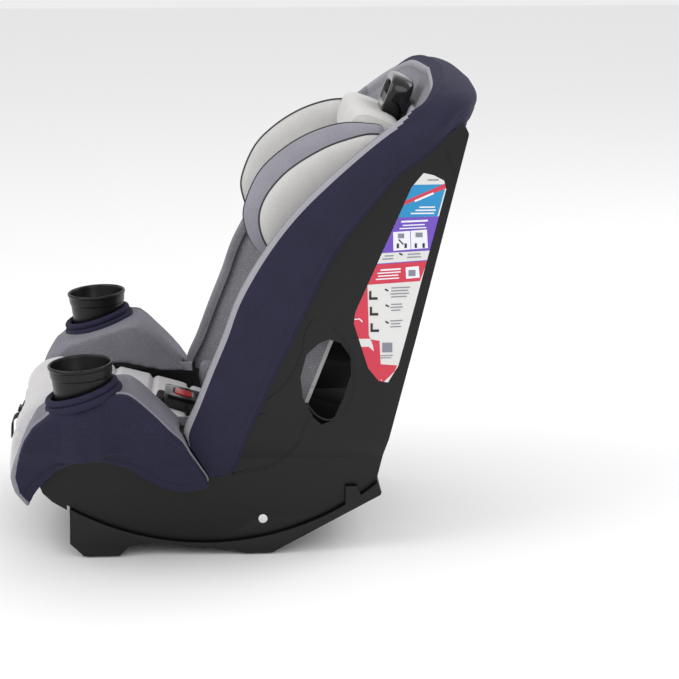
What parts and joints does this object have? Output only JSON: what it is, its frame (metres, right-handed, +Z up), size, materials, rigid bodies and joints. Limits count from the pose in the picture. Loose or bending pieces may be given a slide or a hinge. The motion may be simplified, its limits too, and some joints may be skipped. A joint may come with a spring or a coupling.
{
  "type": "convertible car seat",
  "caption": "Child car seat with a padded shell that rocks on a moulded base, a height-adjustable headrest, harness and lift-out cup holders on both arms.",
  "frame": {"origin": "centre of the bounding box's footprint, on the floor under the base", "axes": "+Z up, the seat faces -Y, +X to the occupant's left"},
  "size_m": [0.484, 0.635, 0.637],
  "materials": {
    "base_plastic": "moulded satin",
    "shell_plastic": "moulded satin",
    "lever_plastic": "moulded satin",
    "cup_plastic": "moulded satin",
    "handle_plastic": "moulded gloss",
    "buckle_plastic": "moulded gloss",
    "button_plastic": "moulded",
    "rubber": "moulded",
    "steel": "plated",
    "bright_steel": "polished plate",
    "cover_fabric": "woven navy",
    "mesh_fabric": "knit mesh",
    "pad_fabric": "quilted knit",
    "head_fabric": "padded knit",
    "webbing": "woven webbing",
    "label_film": "printed film"
  },
  "bodies": {
    "base": {"base_tub": "base_plastic", "floor_pads": "rubber", "guide_rail_left": "steel", "guide_rail_right": "steel", "lever_pin": "steel", "lever_brackets": "base_plastic"},
    "recline_lever": {"recline_lever": "lever_plastic"},
    "seat": {"seat_shell": "shell_plastic", "guide_rod": "bright_steel", "backrest_pad": "pad_fabric", "backrest_liner": "pad_fabric", "seat_pad": "pad_fabric", "front_apron": "pad_fabric", "side_bolster_left": "mesh_fabric", "side_bolster_right": "mesh_fabric", "side_cover_left": "cover_fabric", "side_cover_right": "cover_fabric", "rim_cover": "cover_fabric", "arm_cover_left": "cover_fabric", "arm_cover_right": "cover_fabric", "cup_socket_left": "shell_plastic", "cup_socket_right": "shell_plastic", "cup_collar_left": "cover_fabric", "cup_collar_right": "cover_fabric", "headrest_rod_left": "steel", "headrest_rod_right": "steel", "harness_strap_left": "webbing", "harness_strap_right": "webbing", "buckle_housing": "buckle_plastic", "crotch_strap": "webbing", "crotch_anchor": "steel", "back_strap_left": "webbing", "back_strap_right": "webbing", "splitter_plate": "steel", "adjuster_strap": "webbing", "adjuster_bezel": "buckle_plastic", "label_left": "label_film", "label_right": "label_film", "cover_snap_left": "steel", "cover_snap_right": "steel"},
    "headrest": {"headrest_carriage": "shell_plastic", "headrest_frame": "shell_plastic", "headrest_pad": "head_fabric", "headrest_wing_left": "head_fabric", "headrest_wing_right": "head_fabric", "handle_housing": "handle_plastic"},
    "headrest_handle": {"headrest_handle": "handle_plastic"},
    "cup_left": {"cup_holder_left": "cup_plastic"},
    "cup_right": {"cup_holder_right": "cup_plastic"},
    "chest_clip": {"chest_clip": "buckle_plastic"},
    "buckle_button": {"buckle_button": "button_plastic"},
    "tongue_left": {"buckle_tongue_left": "bright_steel"},
    "tongue_right": {"buckle_tongue_right": "bright_steel"},
    "adjuster_button": {"adjuster_button": "button_plastic"}
  },
  "joints": [
    {"name": "recline", "type": "hinge", "parent": "base", "child": "seat", "pos_m": [0, -0.045, 0.372], "axis": [-1, 0, 0], "range_deg": [0, 28]},
    {"name": "recline_lever", "type": "hinge", "parent": "base", "child": "recline_lever", "pos_m": [0, -0.206, 0.04], "axis": [-1, 0, 0], "range_deg": [0, 12], "stiffness_Nm_per_rad": 1.5, "springref_deg": -5.73},
    {"name": "headrest_height", "type": "slide", "parent": "seat", "child": "headrest", "axis": [0, 0.3649, 0.9311], "range_m": [-0.045, 0.05]},
    {"name": "headrest_handle", "type": "slide", "parent": "headrest", "child": "headrest_handle", "axis": [0, 0.3649, 0.9311], "range_m": [0, 0.01], "stiffness_N_per_m": 800, "springref_m": -0.002},
    {"name": "cup_left_lift", "type": "slide", "parent": "seat", "child": "cup_left", "axis": [0, -0.0593, 0.9982], "range_m": [0, 0.09]},
    {"name": "cup_right_lift", "type": "slide", "parent": "seat", "child": "cup_right", "axis": [0, -0.0593, 0.9982], "range_m": [0, 0.09]},
    {"name": "chest_clip_slide", "type": "slide", "parent": "seat", "child": "chest_clip", "axis": [0, 0.3649, 0.9311], "range_m": [-0.05, 0.03]},
    {"name": "buckle_button_press", "type": "slide", "parent": "seat", "child": "buckle_button", "axis": [0, -0.2807, -0.9598], "range_m": [0, 0.0028], "stiffness_N_per_m": 1500, "springref_m": -0.001},
    {"name": "tongue_left_release", "type": "slide", "parent": "seat", "child": "tongue_left", "axis": [0, 0.9598, -0.2807], "range_m": [0, 0.02]},
    {"name": "tongue_right_release", "type": "slide", "parent": "seat", "child": "tongue_right", "axis": [0, 0.9598, -0.2807], "range_m": [0, 0.02]},
    {"name": "adjuster_button_press", "type": "slide", "parent": "seat", "child": "adjuster_button", "axis": [0, 0.9231, -0.3846], "range_m": [0, 0.002], "stiffness_N_per_m": 1500, "springref_m": -0.001}
  ]
}
